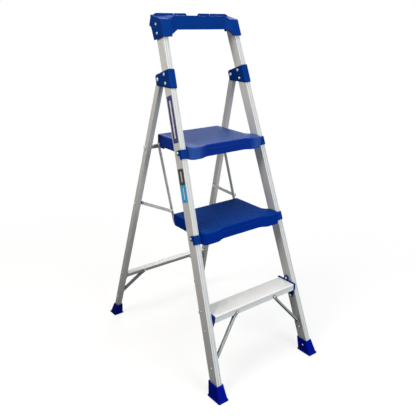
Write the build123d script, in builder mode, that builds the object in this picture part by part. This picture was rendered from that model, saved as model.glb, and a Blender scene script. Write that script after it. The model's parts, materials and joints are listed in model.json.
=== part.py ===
import os
from math import atan, atan2, cos, radians, sin, tan

from build123d import *

# Driving dimensions of the stool, in millimetres and degrees.
rise = 250.0  # from the floor to the bottom step, and from each standing surface to the next
front_lean = 20.6  # front frame, back from upright
splay = 3.2  # front stiles, in the plane of their frame
front_toe_y = -331.65  # where the fronts of the stiles meet the floor
base_half = 219.0  # outer half width of the stiles at the floor
rear_spread = 653.0  # from the stile fronts to the middle of the rear legs, on the floor
leg_base_half = 220.0  # outer half width of the rear legs at the floor
hinge_back = 419.0  # rear hinge axis, behind front_toe_y
hinge_z = 938.0

# Front stiles: hollow aluminium box with two shallow grooves down the front.
stile_width = 20.0
stile_depth = 37.2
stile_wall = 1.6
stile_top_z = 1112.0  # cut level at the top and, like the rear legs, at the foot
upright_foot_z = 4.0
groove_width = 2.4
groove_depth = 0.8
groove_offset = 4.6
tube_corner = 2.0  # outer rounding of stiles and legs

# Rear legs: smaller hollow box.
leg_width = 18.6
leg_depth = 20.0
leg_wall = 1.5
leg_past_hinge = 10.0
leg_side_gap = 0.7  # each side, between the plates of the hinge bracket

# Treads: hollow mouldings that turn on pins in the stiles.
pivot_drop = 20.0  # pivot below the standing surface
pivot_setback = 16.3  # pivot behind the stile front, level
tread_front = 24.0  # straight front edge ahead of the pivot
lobe_front = 35.5  # rounded lobes ahead of the pivot
lobe_inner = 106.0  # where the deeper skirt of a lobe starts
lobe_step = 22.0  # length of the curve between the front edge and a lobe
lobe_back = 14.0
lobe_blend = 30.0
tread_radii = (38.0, 38.0, 16.0, 7.0, 22.0, 6.0)  # round the plan, from the front edge to the rear
skirt = 39.0
tread_edge = 4.0  # rounding of the top edge
tread_plate = 4.0
tread_wall = 3.0
rib_wall = 2.2
bearing_radius = 10.0
bearing_length = 20.0
spacer_radius = 6.5  # of the bearing's end beside the clip
bead_drop = 15.0  # bead along the front skirt
bead_height = 2.6
bead_depth = 2.0
rib_drop = 16.0
top_tread_half = 132.0
top_tread_rear = 182.0
low_tread_half = 143.3
low_tread_rear = 165.0
low_rear_slant = 16.0  # the rear wall of the lower tread leans in towards its foot
low_rear_lip = 6.0  # upright part of that wall
top_ribs = (45.0, 95.0, 145.0)  # behind the pivot
low_ribs = (45.0, 90.0, 130.0)

# Links of the fold.
crank_back = 165.0  # link pivot behind the tread pivot
crank_drop = 11.0
drop_link_x = -136.5  # inner face
link_wall = 2.5
link_width = 12.0
stay_up = 40.0  # stay pivot above the lower end of the drop link
stay_z = 496.5  # stay pivot on the rear leg
stay_x = -144.3  # inner face of the stay beside the drop link
stay_leg_x = -166.4  # inner face of the stay beside the rear leg

link_gap = 0.4  # each side of a moving link
link_boss = 8.0
link_head = 5.0
lug_length = 36.0
lug_drop = 5.0  # below the skirt
lug_shift = -5.0  # middle of the lug, from the link pivot
hook_x = 62.0  # hooks behind the top tread, from the middle
hook_width = 30.0
hook_top = 14.0  # above the middle of the cross tube
hook_back = 10.0
hook_gap = 0.3
rail_wall = 2.5  # steel rails under the lower tread
rail_x = drop_link_x + link_gap + rail_wall  # inner face
rail_height = 12.0
rail_length = 135.0
stay_flat = 13.0  # flat at each end of a stay, past its pivot

# Fasteners.
rivet_radius = 2.5
rivet_head = 4.8
head_height = 1.8
pin_radius = 4.0
pin_head = 5.6
tread_pin_head = 4.4
link_pin_radius = 3.5
hole_gap = 0.1
running_gap = 0.06

# Blue plastic fittings.
bracket_wall = 3.0
bracket_round = 4.0
bracket_below = 45.0  # along the stile, from the hinge
bracket_above = 17.0
bracket_past_hinge = 14.0
bracket_ear = 9.0
clip_wall = 2.6
clip_side_gap = 1.6
clip_ear = 8.0
clip_tail = 21.0  # front band below the pivot
foot_wall = 3.6
foot_corner = 4.0
foot_flare = 10.0
foot_lip = 3.5
foot_waist_z = 5.25  # where the lip has drawn in to the wall
foot_waist = 7.8
front_foot_height = 46.0
rear_foot_height = 42.0
foot_rivet_up = 36.0
spot_depth = 0.6
handle_wall = 4.0

# Cross members of the rear frame.
tube_radius = 7.5
tube_bore = 5.0
tube_z = 707.0
tube_offset = 3.5  # behind the middle of the rear legs
bar_middle = 188.6  # along the leg
bar_height = 14.5
bar_wall = 2.0
bar_rivet_offset = 11.4
bar_rivet_head = 4.0
bar_plate_height = 34.0
bar_plate_corner = 4.0
tube_plug = 14.0  # of a rivet in the end of the cross tube, past the leg

lean = radians(front_lean)
turn = radians(splay)
rear_lean = atan((rear_spread - hinge_back) / hinge_z)

# Left stile: unit vectors towards the middle, towards the back and up its length.
stile_in = Vector(cos(turn), -sin(turn) * sin(lean), -sin(turn) * cos(lean))
stile_back = Vector(0, cos(lean), -sin(lean))
stile_up = Vector(sin(turn), cos(turn) * sin(lean), cos(turn) * cos(lean))
stile_corner = Vector(-base_half, front_toe_y, 0)


def stile_at(across, depth, up):
    return stile_corner + stile_in * across + stile_back * depth + stile_up * up


def stile_section(up):
    return Plane(origin=stile_at(stile_width / 2, 0, up), x_dir=stile_in, z_dir=stile_up)


def stile_side(across):
    return Plane(origin=stile_at(across, 0, 0), x_dir=stile_back, z_dir=stile_in)


# Depth and distance up the stile of a point given by its height and its level setback.
def stile_station(setback, z):
    return setback * cos(lean), (z / cos(lean) + setback * sin(lean)) / cos(turn)


def stile_front_y(z):
    return front_toe_y + z * tan(lean)


hinge_y = front_toe_y + hinge_back
hinge_station = stile_station(hinge_y - stile_front_y(hinge_z), hinge_z)
leg_run = hinge_z / cos(rear_lean)
leg_hinge_half = base_half - hinge_station[1] * sin(turn) - leg_side_gap
leg_turn = atan((leg_base_half - leg_hinge_half) / leg_run)

# Left rear leg: the same three directions, with depth counted from its middle.
leg_in = Vector(cos(leg_turn), sin(leg_turn) * sin(rear_lean), -sin(leg_turn) * cos(rear_lean))
leg_back = Vector(0, cos(rear_lean), sin(rear_lean))
leg_up = Vector(sin(leg_turn), -cos(leg_turn) * sin(rear_lean), cos(leg_turn) * cos(rear_lean))
leg_corner = Vector(-leg_base_half, front_toe_y + rear_spread, 0)


def leg_at(across, depth, up):
    return leg_corner + leg_in * across + leg_back * depth + leg_up * up


def leg_section(up):
    return Plane(origin=leg_at(leg_width / 2, 0, up), x_dir=leg_in, z_dir=leg_up)


def leg_side(across):
    return Plane(origin=leg_at(across, 0, 0), x_dir=leg_back, z_dir=leg_in)


def leg_middle_y(z):
    return front_toe_y + rear_spread - z * tan(rear_lean)


# Where a line along X through y and z meets a plane.
def pierce_x(plane, y, z):
    away = plane.z_dir
    start = plane.origin
    return start.X - (away.Y * (y - start.Y) + away.Z * (z - start.Z)) / away.X


def along_x(x, y, z):
    return Plane(origin=(x, y, z), x_dir=(0, 1, 0), z_dir=(1, 0, 0))


def side_seat(plane, depth, up):
    return Plane(origin=plane.from_local_coords((depth, up, 0)), x_dir=plane.x_dir, z_dir=plane.z_dir)


middle_in = (Align.CENTER, Align.CENTER, Align.MIN)
middle_out = (Align.CENTER, Align.CENTER, Align.MAX)


# A hole through the piece being built, along the seat's own direction.
def drill(seat, radius, depth):
    with Locations(Location(seat.offset(-depth))):
        Cylinder(radius, 2 * depth, align=middle_in, mode=Mode.SUBTRACT)


# A flat seat for a rivet head on a face that isn't quite square to the rivet.
def spot_face(seat):
    with Locations(Location(seat)):
        Cylinder(rivet_head + link_gap, 2 * rivet_head, align=middle_out, mode=Mode.SUBTRACT)


# The plane that holds a seat's axis, with distance from the axis across it and depth up it.
def turning_plane(seat):
    return Plane(origin=seat.origin, x_dir=seat.x_dir, z_dir=-seat.y_dir)


# A rivet whose domed head sits on the seat and whose flat set head closes the grip.
def make_rivet(seat, grip, shank=rivet_radius, head=rivet_head):
    with BuildPart() as rivet:
        with BuildSketch(turning_plane(seat)):
            with BuildLine():
                dome = TangentArc((0, -head_height), (head, 0), tangent=(1, 0))
                Polyline(dome @ 1, (shank, 0), (shank, grip), (head, grip), (head * 0.6, grip + head_height),
                         (0, grip + head_height), dome @ 0)
            make_face()
        revolve(axis=Axis(seat.origin, seat.z_dir))
    return rivet.part


# A round head along X, cut to sit flat on a sloping face.
def make_seated_head(face, y, z, radius, keep):
    depth = 2.4
    x = pierce_x(face, y, z)
    with BuildPart() as head:
        with Locations(Location(along_x(x - depth, y, z))):
            Cylinder(radius, 2 * depth, align=middle_in)
        split(bisect_by=face, keep=keep)
        outer_end = head.faces().sort_by(Axis.X)[0 if keep == Keep.BOTTOM else -1]
        chamfer(outer_end.edges(), depth * 0.4)
    return head.part


# A pivot pin along X with its head on an outer face and, where it has one, a set head inside.
def make_pin(face, y, z, reach, shank=pin_radius, head=pin_head, set_face=None):
    x = pierce_x(face, y, z)
    heads = [make_seated_head(face, y, z, head, Keep.BOTTOM)]
    if set_face:
        heads.append(make_seated_head(set_face, y, z, head, Keep.TOP))
    with BuildPart() as pin:
        add(heads)
        with Locations(Location(along_x(x - 1, y, z))):
            Cylinder(shank, reach + 1, align=middle_in)
    return pin.part


def save(part, name):
    part.label = name
    export_step(part, f"parts/{name}.step")


# Writes a left-hand piece and its mirror image.
def save_pair(part, name):
    save(part, f"left_{name}")
    save(mirror(part, about=Plane.YZ), f"right_{name}")


# Writes left-hand fasteners and their mirror images as one group of separate solids.
def save_both_sides(pieces, name):
    with BuildPart() as group:
        add(pieces)
        mirror(about=Plane.YZ)
    save(group.part, name)


# Stations of the rivets on the left stile, as level setback and height.
handle_rivets = [stile_station(27.0, 1101.0), stile_station(28.0, 1075.0)]
bracket_rivets = [stile_station(25.8, 957.0), stile_station(25.8, 931.0)]
step_rivets = [stile_station(25.5, 260.7), stile_station(22.5, 202.4)]
strut_rivet = stile_station(17.8, 92.7)
tread_heights = {"top": 3 * rise, "low": 2 * rise}


def pivot_point(height):
    z = height - pivot_drop
    return stile_front_y(z) + pivot_setback, z


def handle_seat(station):
    return side_seat(stile_side(spot_depth - handle_wall), *station)


# Seats on the inner faces of the feet, facing outwards.
def front_foot_seat():
    start = stile_at(stile_width + foot_wall - spot_depth, stile_depth / 2, foot_rivet_up)
    return Plane(origin=start, x_dir=stile_back, z_dir=-stile_in)


def rear_foot_seat():
    start = leg_at(leg_width + foot_wall - spot_depth, 0, foot_rivet_up)
    return Plane(origin=start, x_dir=leg_back, z_dir=-leg_in)


def crank_point(height):
    y, z = pivot_point(height)
    return y + crank_back, z - crank_drop


tube_y = leg_middle_y(tube_z) + tube_offset
low_link = crank_point(tread_heights["low"])
stay_front = (low_link[0] + stay_up * sin(lean), low_link[1] + stay_up * cos(lean))
stay_rear = (leg_middle_y(stay_z), stay_z)


floor_cut = Plane.XY.offset(upright_foot_z)
top_cut = Plane.XY.offset(stile_top_z)


# The solid outline of an upright, to cut its sockets with.
def make_core(section, middle, width, depth, length):
    with BuildPart() as core:
        with BuildSketch(section):
            with Locations((0, middle)):
                Rectangle(width, depth)
        extrude(amount=length)
        split(bisect_by=floor_cut, keep=Keep.TOP)
        split(bisect_by=top_cut, keep=Keep.BOTTOM)
    return core.part


def make_stile_core():
    return make_core(stile_section(0), stile_depth / 2, stile_width, stile_depth, 1.2 * stile_top_z)


def make_leg_core():
    return make_core(leg_section(0), 0, leg_width, leg_depth, leg_run / 2)


def make_stile():
    with BuildPart() as stile:
        with BuildSketch(stile_section(0)) as profile:
            with Locations((0, stile_depth / 2)):
                Rectangle(stile_width, stile_depth)
            fillet(profile.vertices(), tube_corner)
            with Locations((0, stile_depth / 2)):
                Rectangle(stile_width - 2 * stile_wall, stile_depth - 2 * stile_wall, mode=Mode.SUBTRACT)
            with Locations((-groove_offset, 0), (groove_offset, 0)):
                Rectangle(groove_width, 2 * groove_depth, mode=Mode.SUBTRACT)
        extrude(amount=1.2 * stile_top_z)
        split(bisect_by=floor_cut, keep=Keep.TOP)
        split(bisect_by=top_cut, keep=Keep.BOTTOM)
        for station in bracket_rivets + step_rivets + [strut_rivet]:
            drill(side_seat(stile_side(0), *station), rivet_radius + hole_gap, 2 * stile_width)
        for seat in [handle_seat(station) for station in handle_rivets] + [front_foot_seat()]:
            drill(seat, rivet_radius + hole_gap, stile_width / 2)
        for height in tread_heights.values():
            y, z = pivot_point(height)
            drill(along_x(pierce_x(stile_side(0), y, z), y, z), pin_radius + hole_gap, 2 * stile_width)
    return stile.part


# A moulded foot: level rings that follow the upright, flared at the floor, with a socket.
def make_foot(ring_middle, width, depth, height, core, seat):
    rings = [(0, foot_flare), (foot_lip, foot_flare), (foot_waist_z, foot_waist), (height, foot_wall)]
    with BuildPart() as foot:
        for z, wall in rings:
            middle = ring_middle(z)
            with BuildSketch(Plane(origin=(middle[0], middle[1], z))):
                RectangleRounded(width + 2 * wall, depth + 2 * wall, foot_corner)
        loft(ruled=True)
        add(core, mode=Mode.SUBTRACT)
        drill(seat, rivet_radius + hole_gap, 2 * foot_wall)
        spot_face(seat)
    return foot.part


def front_foot_middle(z):
    along = z / (cos(lean) * cos(turn))
    return (-base_half + stile_width / (2 * cos(turn)) + along * sin(turn),
            stile_front_y(z) + stile_depth / (2 * cos(lean)))


def rear_foot_middle(z):
    along = z / (cos(rear_lean) * cos(leg_turn))
    return (-leg_base_half + leg_width / (2 * cos(leg_turn)) + along * sin(leg_turn), leg_middle_y(z))


# Rounds the long edges of the face that looks forward from the stile.
def round_front(piece, radius):
    front = piece.faces().sort_by(Axis(stile_corner, stile_back))[0]
    fillet(front.edges().filter_by(Axis(stile_corner, stile_up)), radius)


# A U of moulded plastic round the stile, with plates both sides that carry the rear hinge.
def make_hinge_bracket():
    depth, up = hinge_station
    plate_back = depth + bracket_past_hinge
    with BuildPart() as bracket:
        with BuildSketch(stile_side(-bracket_wall)) as outline:
            with BuildLine():
                Polyline((-bracket_wall, up - bracket_below), (-bracket_wall, up + bracket_above),
                         (plate_back, up + bracket_above), (plate_back, up - bracket_above),
                         (stile_depth * 0.6, up - 0.8 * bracket_below), close=True)
            make_face()
            fillet(outline.vertices().sort_by(Axis.X)[-2:], bracket_ear)
            fillet(outline.vertices().sort_by(Axis.X)[:2], bracket_wall)
        extrude(amount=stile_width + 2 * bracket_wall)
        round_front(bracket, bracket_round)
        with BuildSketch(stile_section(up - 2 * bracket_below)):
            with Locations((0, 2 * stile_depth)):
                Rectangle(stile_width, 4 * stile_depth)
        extrude(amount=4 * bracket_below, mode=Mode.SUBTRACT)
        for station in bracket_rivets:
            drill(side_seat(stile_side(0), *station), rivet_radius + hole_gap, 2 * stile_width)
        drill(along_x(pierce_x(stile_side(0), hinge_y, hinge_z), hinge_y, hinge_z),
              pin_radius + hole_gap, 2 * stile_width)
    return bracket.part


# A clip that wraps the stile, with a rounded ear each side round the tread's pivot pin.
def make_clip(height):
    y, z = pivot_point(height)
    depth, up = stile_station(pivot_setback, z)
    with BuildPart() as clip:
        with BuildSketch(stile_side(-clip_wall)):
            with Locations((depth, up)):
                Circle(clip_ear)
            with Locations((-clip_wall, up - clip_ear)):
                Rectangle(depth + clip_wall, 2 * clip_ear, align=(Align.MIN, Align.MIN))
            with Locations((-clip_wall, up - clip_tail)):
                Rectangle(clip_wall + clip_ear, clip_tail, align=(Align.MIN, Align.MIN))
        extrude(amount=stile_width + 2 * clip_wall)
        round_front(clip, clip_wall)
        with BuildSketch(stile_section(up - 2 * clip_tail)):
            with Locations((0, stile_depth)):
                Rectangle(stile_width, 2 * stile_depth)
        extrude(amount=4 * clip_tail, mode=Mode.SUBTRACT)
        drill(along_x(pierce_x(stile_side(0), y, z), y, z), pin_radius + hole_gap, 2 * stile_width)
    return clip.part


# Handle: a deep bar across the stile tops, with a sleeve at each end, a tray and a raised rear rim.
bar_low_z = 1086.0
bar_top_z = 1127.0
bar_half = 102.0
bar_recess = 4.0  # front of the bar behind the stile fronts
bar_lean = 8.0
bar_depth = 58.0
handle_front = 6.0  # front of a sleeve ahead of the stile front
sleeve_half = 124.0  # where the slanted facet between bar and sleeve ends
sleeve_low_z = 1068.0  # at the front; the lower edge is about square to the stile
sleeve_low_back_z = 1054.0
sleeve_top_z = 1117.0
sleeve_back_z = 1128.0
gusset_low_half = 132.0  # the corner plate below the bar
gusset_wall = 4.5
sleeve_swell = 9.0  # back of a sleeve behind the back of the bar
back_slant = 5.0  # back of the bar, wider near its foot
rim_height = 6.5
rim_wall = 6.0
rim_half = 139.0
rim_gap_half = 28.0
rim_notch = 73.0  # from the middle
rim_notch_half = 4.5
tray_corner = 5.0
tray_length = 96.0
tray_width = 30.0
tray_depth = 14.0
tray_back = 31.0  # middle of the tray behind the stile fronts
tool_hole = 8.0
tool_hole_places = (66.0, 90.0)


# Side views are drawn with depth behind the stile fronts and height above the foot of the bar.
def handle_side(x):
    return Plane(origin=(x, stile_front_y(bar_low_z), bar_low_z), x_dir=(0, 1, 0), z_dir=(1, 0, 0))


def handle_front_view(z):
    return Plane(origin=(0, stile_front_y(bar_low_z) + 2 * bar_depth, z), x_dir=(1, 0, 0), z_dir=(0, -1, 0))


def sleeve_front_at(height):
    return height * tan(lean) - handle_front, height


def make_handle():
    low = sleeve_low_z - bar_low_z
    low_back = sleeve_low_back_z - bar_low_z
    shelf = sleeve_top_z - bar_low_z
    crest = sleeve_back_z - bar_low_z
    deck = bar_top_z - bar_low_z
    hollow = deck - tray_depth - 1.5 * handle_wall
    outer = base_half - sleeve_top_z / cos(lean) * tan(turn) + handle_wall
    edge_slope = tan(turn) / cos(lean)
    front_slope = tan(radians(bar_lean))
    tray_y = stile_front_y(bar_low_z) + tray_back
    heel = deck / 4
    sleeve_back = [(bar_depth + sleeve_swell / 3, crest), (bar_depth + sleeve_swell, heel),
                   (bar_depth - 2, heel / 2)]
    bar_section = [(bar_recess, 0), (bar_recess + deck * front_slope, deck), (bar_depth, deck),
                   (bar_depth + back_slant, heel), (bar_depth - sleeve_swell, 0)]
    bar_end = [sleeve_front_at(0), sleeve_front_at(shelf), *sleeve_back[:2], (bar_depth - sleeve_swell, 0)]
    with BuildPart() as handle:
        # Sleeve: the side view cut to the slope of the stile.
        with BuildSketch(handle_side(-outer - stile_width)):
            with BuildLine():
                Polyline(sleeve_front_at(low), sleeve_front_at(shelf), *sleeve_back,
                         (low_back * tan(lean) + stile_depth / cos(lean) + 2 * handle_wall, low_back),
                         close=True)
            make_face()
        extrude(amount=outer + stile_width - sleeve_half)
        with BuildSketch(handle_front_view(sleeve_top_z)):
            with BuildLine():
                Polyline((-outer, deck), (-outer, 0), (-outer - 2 * deck * edge_slope, -2 * deck),
                         (-sleeve_half, -2 * deck), (-sleeve_half, deck), close=True)
            make_face()
        extrude(amount=4 * bar_depth, mode=Mode.INTERSECT)
        # Open below the bar on the inner side, where the stile shows.
        with BuildSketch(handle_side(-gusset_low_half - gusset_wall)):
            with BuildLine():
                Polyline((2 * low * tan(lean) - handle_front + gusset_wall, 2 * low),
                         (gusset_wall - handle_front, 0), (2 * bar_depth, 0), (2 * bar_depth, 2 * low),
                         close=True)
            make_face()
        extrude(amount=gusset_low_half, mode=Mode.SUBTRACT)
        # Open behind the stile too, so that only the outer wall reaches down there.
        with BuildSketch(stile_section(stile_station(stile_depth / cos(lean), bar_low_z - gusset_wall)[1])):
            with Locations((stile_width / 4, 2 * stile_depth)):
                Rectangle(1.5 * stile_width, 2 * stile_depth + 2)
        extrude(amount=-3 * stile_depth, mode=Mode.SUBTRACT)
        # Slanted facet from the front of the sleeve back to the bar, and the bar itself.
        for x, outline in ((-sleeve_half, bar_end), (-bar_half, bar_section)):
            with BuildSketch(handle_side(x)):
                with BuildLine():
                    Polyline(*outline, close=True)
                make_face()
        loft(ruled=True)
        with BuildSketch(handle_side(-bar_half)):
            with BuildLine():
                Polyline(*bar_section, close=True)
            make_face()
        extrude(amount=bar_half)
        # Corner plate below the bar.
        with BuildSketch(Plane(origin=(0, stile_front_y(bar_low_z) - handle_front, bar_low_z),
                               x_dir=(1, 0, 0), z_dir=(0, -cos(lean), sin(lean)))):
            with BuildLine():
                Polyline((-gusset_low_half, low / cos(lean)), (-bar_half, 0), (-sleeve_half, gusset_wall),
                         (-gusset_low_half - gusset_wall, gusset_wall),
                         (-gusset_low_half - gusset_wall, low / cos(lean)), close=True)
            make_face()
        extrude(amount=-gusset_wall * cos(lean))
        # Raised rear rim, with a gap in the middle and a notch over each pair of tool holes.
        with BuildSketch(Plane(origin=(0, stile_front_y(bar_low_z) + bar_depth, bar_top_z),
                               x_dir=(1, 0, 0), z_dir=(0, -1, 0))):
            with BuildLine():
                Polyline((-outer, -2), (-rim_half, rim_height),
                         (-rim_notch - rim_notch_half, rim_height), (-rim_notch, 0),
                         (rim_notch_half - rim_notch, rim_height), (-rim_gap_half, rim_height),
                         (rim_height - rim_gap_half, -2), close=True)
            make_face()
        extrude(amount=rim_wall)
        # Hollow below, tray and tool holes above, and the socket for the stile.
        with BuildSketch(handle_side(-gusset_low_half)):
            with BuildLine():
                Polyline((bar_recess + handle_wall, -1),
                         (bar_recess + handle_wall + hollow * front_slope, hollow),
                         (bar_depth - handle_wall / 2, hollow),
                         (bar_depth - sleeve_swell - handle_wall / 2, -1), close=True)
            make_face()
        extrude(amount=gusset_low_half, mode=Mode.SUBTRACT)
        with BuildSketch(handle_side(-bar_half)):
            with BuildLine():
                Polyline((bar_recess + handle_wall, 0), (bar_recess + 2 * handle_wall, deck - handle_wall),
                         (bar_depth - handle_wall, deck - handle_wall), (bar_depth - handle_wall / 2, hollow),
                         close=True)
            make_face()
        extrude(amount=bar_half - tray_length / 2 - handle_wall, mode=Mode.SUBTRACT)
        with BuildSketch(Plane(origin=(0, tray_y, bar_top_z))):
            RectangleRounded(tray_length, tray_width, tray_corner)
        extrude(amount=-tray_depth, mode=Mode.SUBTRACT)
        with BuildSketch(Plane(origin=(0, tray_y, bar_top_z))):
            with Locations(*[(-place, 0) for place in tool_hole_places]):
                Circle(tool_hole)
        extrude(amount=-deck, mode=Mode.SUBTRACT)
        add(make_stile_core(), mode=Mode.SUBTRACT)
        for station in handle_rivets:
            drill(handle_seat(station), rivet_radius + hole_gap, 2 * handle_wall)
            spot_face(handle_seat(station))
        split(bisect_by=Plane.YZ, keep=Keep.BOTTOM)
        mirror(about=Plane.YZ)
    return handle.part


# Bottom step: an aluminium extrusion with a nose, a return lip below it and a ribbed top.
step_front = 8.8
step_back = 62.4
step_nose = 23.0
step_lip = 28.0
step_wall = 2.2
step_rear_skirt = 17.0
step_rear_return = 9.0
step_edge = 3.0
step_groove = 1.4
step_groove_pitch = 5.6
step_grooves = 11
nose_groove_drop = 9.0
plate_wall = 4.5
plate_margin = 4.0
plate_corner = 2.5
eyelet = 7.5
tall_eyelet = 10.0


def step_plane(x):
    return Plane(origin=(x, stile_front_y(rise), rise), x_dir=(0, 1, 0), z_dir=(1, 0, 0))


def make_bottom_step():
    end = stile_side(stile_width + plate_wall)
    lip_end = (-step_front + step_lip * cos(lean), -step_nose - step_lip * sin(lean))
    with BuildPart() as step:
        with BuildSketch(step_plane(-base_half)) as profile:
            with BuildLine():
                Polyline(lip_end, (-step_front, -step_nose), (-step_front, 0), (step_back, 0),
                         (step_back, -step_rear_skirt), (step_back - step_rear_return, -step_rear_skirt))
                offset(amount=step_wall, side=Side.LEFT, kind=Kind.INTERSECTION)
            make_face()
            fillet(profile.vertices().filter_by(lambda v: abs(v.Y) < 0.01), step_edge)
            with Locations((-step_front, -nose_groove_drop)):
                Rectangle(step_groove, step_groove, mode=Mode.SUBTRACT)
            with GridLocations(step_groove_pitch, 1, step_grooves, 1):
                with Locations(((step_back - step_front) / 2, 0)):
                    Rectangle(step_groove, step_groove, mode=Mode.SUBTRACT)
        extrude(amount=base_half)
        split(bisect_by=end, keep=Keep.TOP)
        drill(front_tab, rivet_radius + hole_gap, 2 * (step_wall + strut_wall))
        mirror(about=Plane.YZ)
    return step.part


# A blue end plate between the step and the stile, with an eyelet above and one below.
def make_step_bracket():
    plane = stile_side(stile_width)
    start = Vector(0, stile_front_y(rise), rise)
    x = pierce_x(plane, start.Y, start.Z)
    plate = Plane(origin=(x, start.Y, start.Z), x_dir=(0, 1, 0), z_dir=plane.z_dir)
    upper, lower = [plate.to_local_coords(plane.from_local_coords((*station, 0)))
                    for station in step_rivets]
    with BuildPart() as bracket:
        with BuildSketch(plate) as outline:
            with BuildLine():
                Polyline((-step_front - plate_margin, plate_margin), (step_back + plate_margin, plate_margin),
                         (step_back + plate_margin, -step_rear_skirt - plate_margin),
                         (step_back / 2, -step_rear_skirt - plate_margin),
                         (lower.X + eyelet, lower.Y + eyelet), (lower.X - eyelet, lower.Y),
                         (-step_front - plate_margin, eyelet - step_nose), close=True)
            make_face()
            fillet(outline.vertices(), plate_corner)
            with Locations((lower.X, lower.Y)):
                Circle(eyelet)
            with Locations((upper.X, upper.Y)):
                Circle(tall_eyelet)
            with Locations((upper.X, plate_margin)):
                Rectangle(2 * tall_eyelet, upper.Y - plate_margin, align=(Align.CENTER, Align.MIN))
        extrude(amount=plate_wall)
        for station in step_rivets:
            drill(side_seat(stile_side(0), *station), rivet_radius + hole_gap, 2 * stile_width)
    return bracket.part


# Struts: a strip folded into a channel, with a flat tab at each end.
strut_wall = 2.0
strut_width = 12.5
strut_flange = 8.0
strut_fold = 5.0
tab_rise = 7.25  # tab's rivet above the lower edge of the cross member
front_strut_foot = 126.0  # where a strut's middle meets the upright, along it
front_strut_head_x = -91.0
rear_strut_foot = 111.0
rear_strut_head_x = -118.0
nose_y = stile_front_y(rise) - step_front
front_up = Vector(0, sin(lean), cos(lean))
rear_up = Vector(0, -sin(rear_lean), cos(rear_lean))
bar_front = -leg_depth / 2
bar_back = leg_depth / 2
bar_low = bar_middle - bar_height / 2
bar_top = bar_middle + bar_height / 2
bar_plate_up = (bar_middle + leg_width * sin(leg_turn)) / cos(leg_turn)
bar_rivets = [(0.0, bar_plate_up + bar_rivet_offset), (0.0, bar_plate_up - bar_rivet_offset)]
rear_strut_rivet = (0.0, 84.0)


# The front faces that the upper tabs lie on, with the lower edge of the member at zero height.
nose_face = Plane(origin=(0, nose_y, rise - step_nose), x_dir=(1, 0, 0), z_dir=(0, -1, 0))
bar_face = Plane(origin=Vector(0, leg_corner.Y, 0) + leg_back * bar_front + rear_up * bar_low,
                 x_dir=(1, 0, 0), z_dir=-leg_back)


# From the middle of a strut at its foot to its middle below the cross member.
def strut_run(foot, member, head_x):
    return member.from_local_coords((head_x, 0, strut_wall - strut_width / 2)) - foot


def front_strut_start():
    return stile_at(stile_width, strut_rivet[0], front_strut_foot)


def rear_strut_start():
    return leg_at(leg_width, rear_strut_rivet[0], rear_strut_foot)


# Outer face of the upper tab at its rivet, looking in.
def tab_seat(foot, member, head_x):
    run = strut_run(foot, member, head_x)
    rise_along = run.dot(member.y_dir)
    middle = (head_x + tab_rise * run.X / rise_along, tab_rise, strut_wall)
    return Plane(origin=member.from_local_coords(middle), x_dir=(1, 0, 0), z_dir=-member.z_dir)


def make_strut(foot, upright, tab_depth, tab_low, member, head_x, clear_of, seats):
    run = strut_run(foot, member, head_x)
    along = run.normalized()
    width_dir = along.cross(Vector(1, 0, 0)).normalized()
    tab = tab_seat(foot, member, head_x)
    tab_middle = member.to_local_coords(tab.origin)
    tab_angle = atan2(run.dot(member.y_dir), run.X)
    foot_up = upright.to_local_coords(foot).Y
    half = strut_width / 2
    with BuildPart() as strut:
        with BuildSketch(Plane(origin=foot - along * strut_width, x_dir=width_dir, z_dir=along)):
            with BuildLine():
                FilletPolyline((half, -strut_flange / 2), (half, strut_flange / 2),
                               (-half, strut_flange / 2), (-half, -strut_flange / 2), radius=strut_fold)
                offset(amount=strut_wall, side=Side.LEFT)
            make_face()
        extrude(amount=run.length + 2 * strut_width)
        split(bisect_by=upright, keep=Keep.TOP)
        add(clear_of, mode=Mode.SUBTRACT)
        with BuildSketch(member):
            with Locations((tab_middle.X, tab_middle.Y)):
                SlotCenterPoint((-half * cos(tab_angle), -half * sin(tab_angle)), (0, 0), strut_width)
        extrude(amount=strut_wall)
        with BuildSketch(upright):
            with Locations((tab_depth, (tab_low + foot_up) / 2)):
                SlotCenterToCenter(foot_up - tab_low, strut_width, rotation=90)
        extrude(amount=strut_wall)
        spot_face(tab)
        for seat in seats:
            drill(seat, rivet_radius + hole_gap, 2 * stile_width)
    return strut.part


# The room behind the nose of the bottom step and above its lip.
def make_step_block():
    reach = 3 * step_lip
    with BuildPart() as block:
        with BuildSketch(step_plane(-base_half)):
            with BuildLine():
                Polyline((-step_front, step_lip), (-step_front, -step_nose),
                         (-step_front + reach * cos(lean), -step_nose - reach * sin(lean)), (reach, step_lip),
                         close=True)
            make_face()
        extrude(amount=base_half)
    return block.part


# The room behind the front of the rear crossbar and above its lower edge.
def make_bar_block():
    with BuildPart() as block:
        with BuildSketch(Plane(origin=(-base_half, leg_corner.Y, 0), x_dir=leg_back, z_dir=(1, 0, 0))):
            with Locations((bar_front, bar_low)):
                Rectangle(2 * leg_depth, 4 * bar_height, align=(Align.MIN, Align.MIN))
        extrude(amount=base_half)
    return block.part


def make_rear_leg():
    with BuildPart() as leg:
        with BuildSketch(leg_section(0)) as profile:
            Rectangle(leg_width, leg_depth)
            fillet(profile.vertices(), tube_corner)
            Rectangle(leg_width - 2 * leg_wall, leg_depth - 2 * leg_wall, mode=Mode.SUBTRACT)
        extrude(amount=leg_run / cos(leg_turn) + leg_past_hinge)
        split(bisect_by=floor_cut, keep=Keep.TOP)
        for station in bar_rivets + [rear_strut_rivet]:
            drill(side_seat(leg_side(0), *station), rivet_radius + hole_gap, 2 * leg_width)
        drill(rear_foot_seat(), rivet_radius + hole_gap, leg_width / 2)
        for y, z, radius in ((hinge_y, hinge_z, pin_radius + running_gap),
                             (*stay_rear, pin_radius + hole_gap),
                             (tube_y, tube_z, tube_bore + hole_gap)):
            drill(along_x(pierce_x(leg_side(0), y, z), y, z), radius, 2 * leg_width)
    return leg.part


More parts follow.
